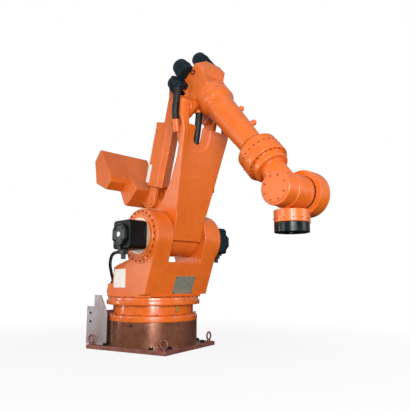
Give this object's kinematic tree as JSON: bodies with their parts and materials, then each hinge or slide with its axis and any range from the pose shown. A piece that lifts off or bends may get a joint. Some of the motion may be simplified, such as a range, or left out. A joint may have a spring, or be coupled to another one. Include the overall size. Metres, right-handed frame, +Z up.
{
  "type": "industrial robot arm",
  "caption": "Floor-standing industrial robot arm with a swivel base, twin shoulder drives, parallel-link elbow, counterweight and a wrist with a round tool flange.",
  "frame": {"origin": "on the swivel axis at the underside of the base plate, where it stands on the floor", "axes": "+Z up along the swivel axis, +X to the front in the plane of the arm, +Y to the arm's left"},
  "size_m": [1.8981, 0.993, 2.1562],
  "materials": {
    "base_steel": "brown-grey coated steel, semi-gloss",
    "orange_paint": "gloss orange paint on castings",
    "black_motor": "black motor enamel, satin",
    "black_rubber": "matt black hose and cable",
    "black_flange": "black oxide, satin",
    "brass": "satin",
    "plate_metal": "satin, bare",
    "white_label": "matt, bare"
  },
  "bodies": {
    "base": {"base_plate": "base_steel", "eye_bolts": "base_steel", "pedestal": "base_steel", "base_flange": "orange_paint", "base_column": "orange_paint", "connector_plate_right": "base_steel", "connector_plate_left": "base_steel", "connector_panel": "base_steel", "zero_mark": "brass"},
    "turret": {"swivel_ring": "orange_paint", "turret": "orange_paint", "turret_rear_box": "orange_paint", "nameplate": "plate_metal", "label_plate": "white_label", "right_shoulder_reducer": "orange_paint", "left_shoulder_reducer": "orange_paint", "right_shoulder_motor": "black_motor", "left_shoulder_motor": "black_motor", "right_shoulder_motor_cap": "black_motor", "left_shoulder_motor_cap": "black_motor", "right_motor_connector": "black_motor", "left_motor_connector": "black_motor", "motor_cable": "black_rubber", "cable_gland": "black_rubber"},
    "lower_arm": {"lower_arm": "orange_paint", "right_elbow_cap": "orange_paint", "left_elbow_cap": "orange_paint", "hose_manifold": "orange_paint", "elbow_hose": "black_rubber", "wrist_hose": "black_rubber"},
    "crank": {"crank": "orange_paint", "counterweight_root": "orange_paint", "counterweight": "orange_paint"},
    "link_rod": {"link_rod": "orange_paint"},
    "upper_arm": {"elbow_housing": "orange_paint", "upper_arm_tube": "orange_paint", "upper_wrist_motor": "black_motor", "lower_wrist_motor": "black_motor", "top_wrist_motor": "black_motor"},
    "wrist_roll": {"wrist_body": "orange_paint"},
    "wrist_bend": {"wrist_bend": "orange_paint"},
    "tool_flange": {"tool_flange": "black_flange"}
  },
  "joints": [
    {"name": "swivel", "type": "hinge", "parent": "base", "child": "turret", "pos_m": [0, 0, 0.3095], "axis": [0, 0, 1], "range_deg": [-160, 160]},
    {"name": "shoulder", "type": "hinge", "parent": "turret", "child": "lower_arm", "pos_m": [0.208, 0, 0.775], "axis": [0, 1, 0], "range_deg": [-50, 40]},
    {"name": "elbow", "type": "hinge", "parent": "lower_arm", "child": "upper_arm", "pos_m": [0.4592, 0, 1.68081], "axis": [0, -1, 0], "range_deg": [-20, 60], "deforming": ["elbow_hose", "wrist_hose"]},
    {"name": "crank_turn", "type": "hinge", "parent": "lower_arm", "child": "crank", "pos_m": [0.208, 0, 0.775], "axis": [0, -1, 0], "range_deg": [-20, 60]},
    {"name": "link_turn", "type": "hinge", "parent": "crank", "child": "link_rod", "pos_m": [-0.04269, 0, 1.07376], "axis": [0, -1, 0], "range_deg": [-60, 20]},
    {"name": "forearm_roll", "type": "hinge", "parent": "upper_arm", "child": "wrist_roll", "pos_m": [1.24965, 0, 0.97993], "axis": [0.6428, 0, -0.766], "range_deg": [-180, 180]},
    {"name": "wrist_bend", "type": "hinge", "parent": "wrist_roll", "child": "wrist_bend", "pos_m": [1.24965, 0, 0.97993], "axis": [0, -1, 0], "range_deg": [-60, 120]},
    {"name": "flange_turn", "type": "hinge", "parent": "wrist_bend", "child": "tool_flange", "pos_m": [1.24965, 0, 0.74043], "axis": [0, 0, -1], "range_deg": [-300, 300]}
  ],
  "couplings": [
    {"joint": "crank_turn", "follows": "elbow", "ratio": 1},
    {"joint": "link_turn", "follows": "elbow", "ratio": -1}
  ]
}
